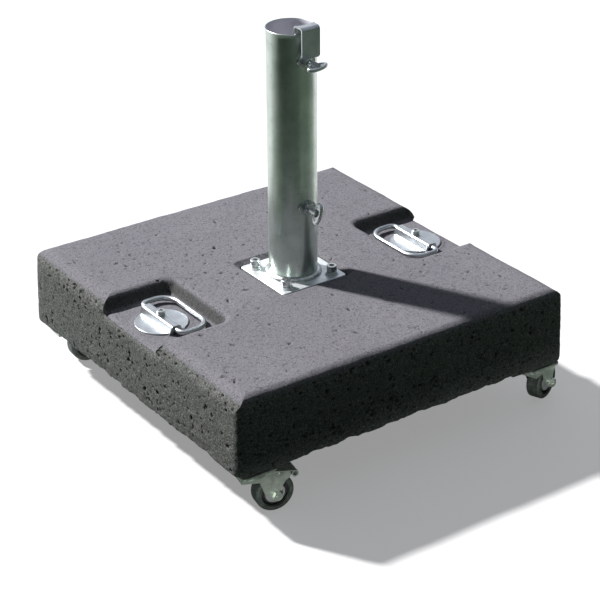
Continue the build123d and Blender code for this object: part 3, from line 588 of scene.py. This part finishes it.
def staged(name, points, faces, material):
    """A mesh that belongs to the stage and not to the object."""
    mesh = bpy.data.meshes.new(name)
    mesh.from_pydata(points, [], faces)
    mesh.materials.append(material)
    obj = bpy.data.objects.new(name, mesh)
    scene.collection.objects.link(obj)
    return obj


def bearing(azimuth, distance):
    """A place on the ground; azimuth 0 is -Y and 90 is +X."""
    a = math.radians(azimuth)
    return distance * math.sin(a), -distance * math.cos(a)


def card(name, start, end, near, far, low, high, material):
    """A card seen only in reflections and bounced light, lying or standing between two bearings."""
    count = 24
    points, faces = [], []
    for i in range(count + 1):
        azimuth = start + (end - start) * i / count
        points.append((*bearing(azimuth, near), low))
        points.append((*bearing(azimuth, far), high))
    for i in range(count):
        k = 2 * i
        faces.append((k, k + 1, k + 3, k + 2))
    obj = staged(name, points, faces, material)
    obj.visible_camera = False
    obj.visible_shadow = False


FLOOR_HALF = 14
CARD_LIFT = 0.0006
CARD_REACH = 3.0
FRONT_CARD_DISTANCE = 1.35
FRONT_CARD_HEIGHT = 1.4

pale_floor = stage_material("pale_floor", (0.36, 0.36, 0.37))
pale_floor.node_tree.nodes["Principled BSDF"].inputs["Emission Color"].default_value = (1, 1, 1, 1)
pale_floor.node_tree.nodes["Principled BSDF"].inputs["Emission Strength"].default_value = 0.30
floor_corners = [(x * FLOOR_HALF, y * FLOOR_HALF, 0) for x, y in ((-1, -1), (1, -1), (1, 1), (-1, 1))]
staged("floor", floor_corners, [(0, 1, 2, 3)], pale_floor)

dark = stage_material("dark_card", (0.034, 0.047, 0.037), True)
mossy = stage_material("mossy_card", (0.062, 0.078, 0.064), True)
grey = stage_material("grey_card", (0.09, 0.11, 0.09), True)
pale = stage_material("pale_card", (0.20, 0.22, 0.20), True)
for name, start, end, material in (
        ("floor_card", -80, 2, dark), ("floor_card_near_left", -100, -80, mossy),
        ("floor_card_left", -116, -100, grey), ("floor_card_far_left", -134, -116, pale),
        ("floor_card_side", 2, 56, grey), ("floor_card_far_side", 56, 84, pale)):
    card(name, start, end, 0.0, CARD_REACH, CARD_LIFT, CARD_LIFT, material)
card("front_card", -105, 75, FRONT_CARD_DISTANCE, FRONT_CARD_DISTANCE, 0.0, FRONT_CARD_HEIGHT, dark)


# ---------------------------------------------------------------- light

KEY_ELEVATION = math.radians(42)
KEY_ANGLE = math.radians(3.2)
STRIP_HEIGHT = 0.034


def added(name, data, place, direction):
    """A lamp at a place, shining against this direction."""
    obj = bpy.data.objects.new(name, data)
    obj.location = place
    obj.rotation_euler = direction.to_track_quat("Z", "Y").to_euler()
    scene.collection.objects.link(obj)
    return obj


def area_light(name, place, target, width, height, power, color):
    """A rectangular lamp aimed at a target, which the camera doesn't see."""
    light = bpy.data.lights.new(name, "AREA")
    light.shape = "RECTANGLE"
    light.size = width
    light.size_y = height
    light.energy = power
    light.color = color
    added(name, light, place, Vector(place) - Vector(target)).visible_camera = False
    return light


key = bpy.data.lights.new("key", "SUN")
key.energy = 9.6
key.angle = KEY_ANGLE
key.color = (1.0, 0.985, 0.96)
key_direction = Vector((-0.47, 0.88, 0)).normalized() * math.cos(KEY_ELEVATION)
key_direction.z = math.sin(KEY_ELEVATION)
added("key", key, key_direction * 4, key_direction)

area_light("back_light", place=(1.75, 2.5, 1.7), target=(0, 0, 0.2), width=2.6, height=1.6, power=6.5,
           color=(0.96, 0.98, 1.0))
# a low strip with a narrow spread, which reaches the casters under the slab
strip = area_light("low_strip", place=(*bearing(-35, 1.25), STRIP_HEIGHT), target=(0, 0, STRIP_HEIGHT),
                   width=1.5, height=0.05, power=0.26, color=(0.95, 1.0, 0.96))
strip.spread = math.radians(8)

world = bpy.data.worlds.new("studio")
world.use_nodes = True
world.node_tree.nodes["Background"].inputs["Color"].default_value = (0.88, 0.95, 1.12, 1)
world.node_tree.nodes["Background"].inputs["Strength"].default_value = 0.32
scene.world = world
scene.view_settings.view_transform = "Standard"


# ---------------------------------------------------------------- camera

CAMERA_AZIMUTH = math.radians(-34.63)
CAMERA_ELEVATION = math.radians(27.28)
CAMERA_ROLL = math.radians(-0.44)
CAMERA_DISTANCE = 3.156
CAMERA_RIGHT = 0.0101
CAMERA_UP = 0.1339

back = Vector((
    math.sin(CAMERA_AZIMUTH) * math.cos(CAMERA_ELEVATION),
    -math.cos(CAMERA_AZIMUTH) * math.cos(CAMERA_ELEVATION),
    math.sin(CAMERA_ELEVATION)))
right = Vector((math.cos(CAMERA_AZIMUTH), math.sin(CAMERA_AZIMUTH), 0))
up = back.cross(right)
rolled_right = right * math.cos(CAMERA_ROLL) + up * math.sin(CAMERA_ROLL)
rolled_up = up * math.cos(CAMERA_ROLL) - right * math.sin(CAMERA_ROLL)
place = back * CAMERA_DISTANCE + right * CAMERA_RIGHT + up * CAMERA_UP
camera_data = bpy.data.cameras.new("camera")
camera_data.lens = 117.4
camera_data.sensor_width = 36.0
camera_data.clip_start = 0.05
camera = bpy.data.objects.new("camera", camera_data)
scene.collection.objects.link(camera)
camera.matrix_world = Matrix((
    (rolled_right.x, rolled_up.x, back.x, place.x),
    (rolled_right.y, rolled_up.y, back.y, place.y),
    (rolled_right.z, rolled_up.z, back.z, place.z),
    (0, 0, 0, 1)))
scene.camera = camera
